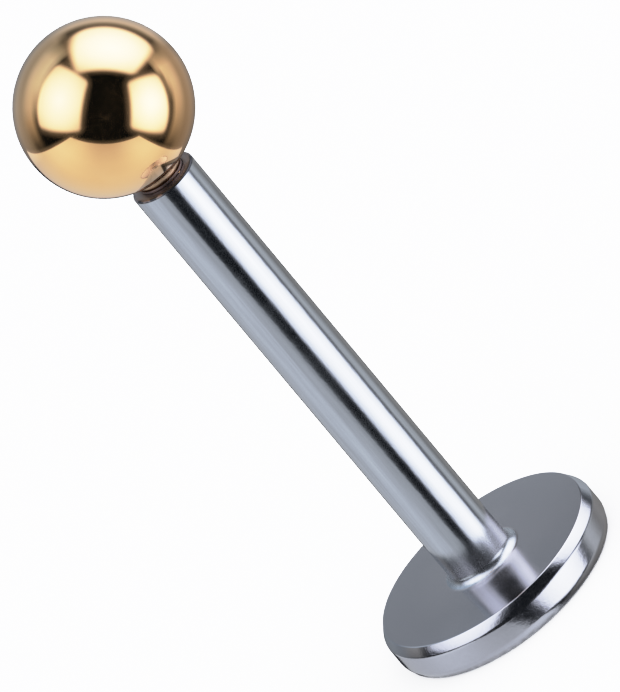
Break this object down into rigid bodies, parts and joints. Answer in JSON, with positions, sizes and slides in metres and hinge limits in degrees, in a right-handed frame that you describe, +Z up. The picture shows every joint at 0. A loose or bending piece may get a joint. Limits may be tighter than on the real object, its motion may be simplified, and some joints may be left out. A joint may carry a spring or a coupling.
{
  "type": "labret stud",
  "caption": "Straight steel stud with a flat round disc at its foot and a screw-on gold-coloured ball at its top.",
  "frame": {"origin": "middle of the disc's flat back, on which the stud stands", "axes": "+Z runs up the middle of the bar, from the disc to the ball; +X and +Y are any two directions square to it"},
  "size_m": [0.0058, 0.0056, 0.0171],
  "materials": {
    "steel": "polished, with fine lengthwise lines on the bar and fine turned rings on the disc",
    "gold": "mirror-polished gold-coloured coating over steel"
  },
  "bodies": {
    "post": {"post": "steel"},
    "ball": {"ball": "gold"}
  },
  "joints": [
    {"name": "ball_lift", "type": "slide", "parent": "post", "child": "ball", "axis": [0, 0, 1], "range_m": [0, 0.003]}
  ]
}
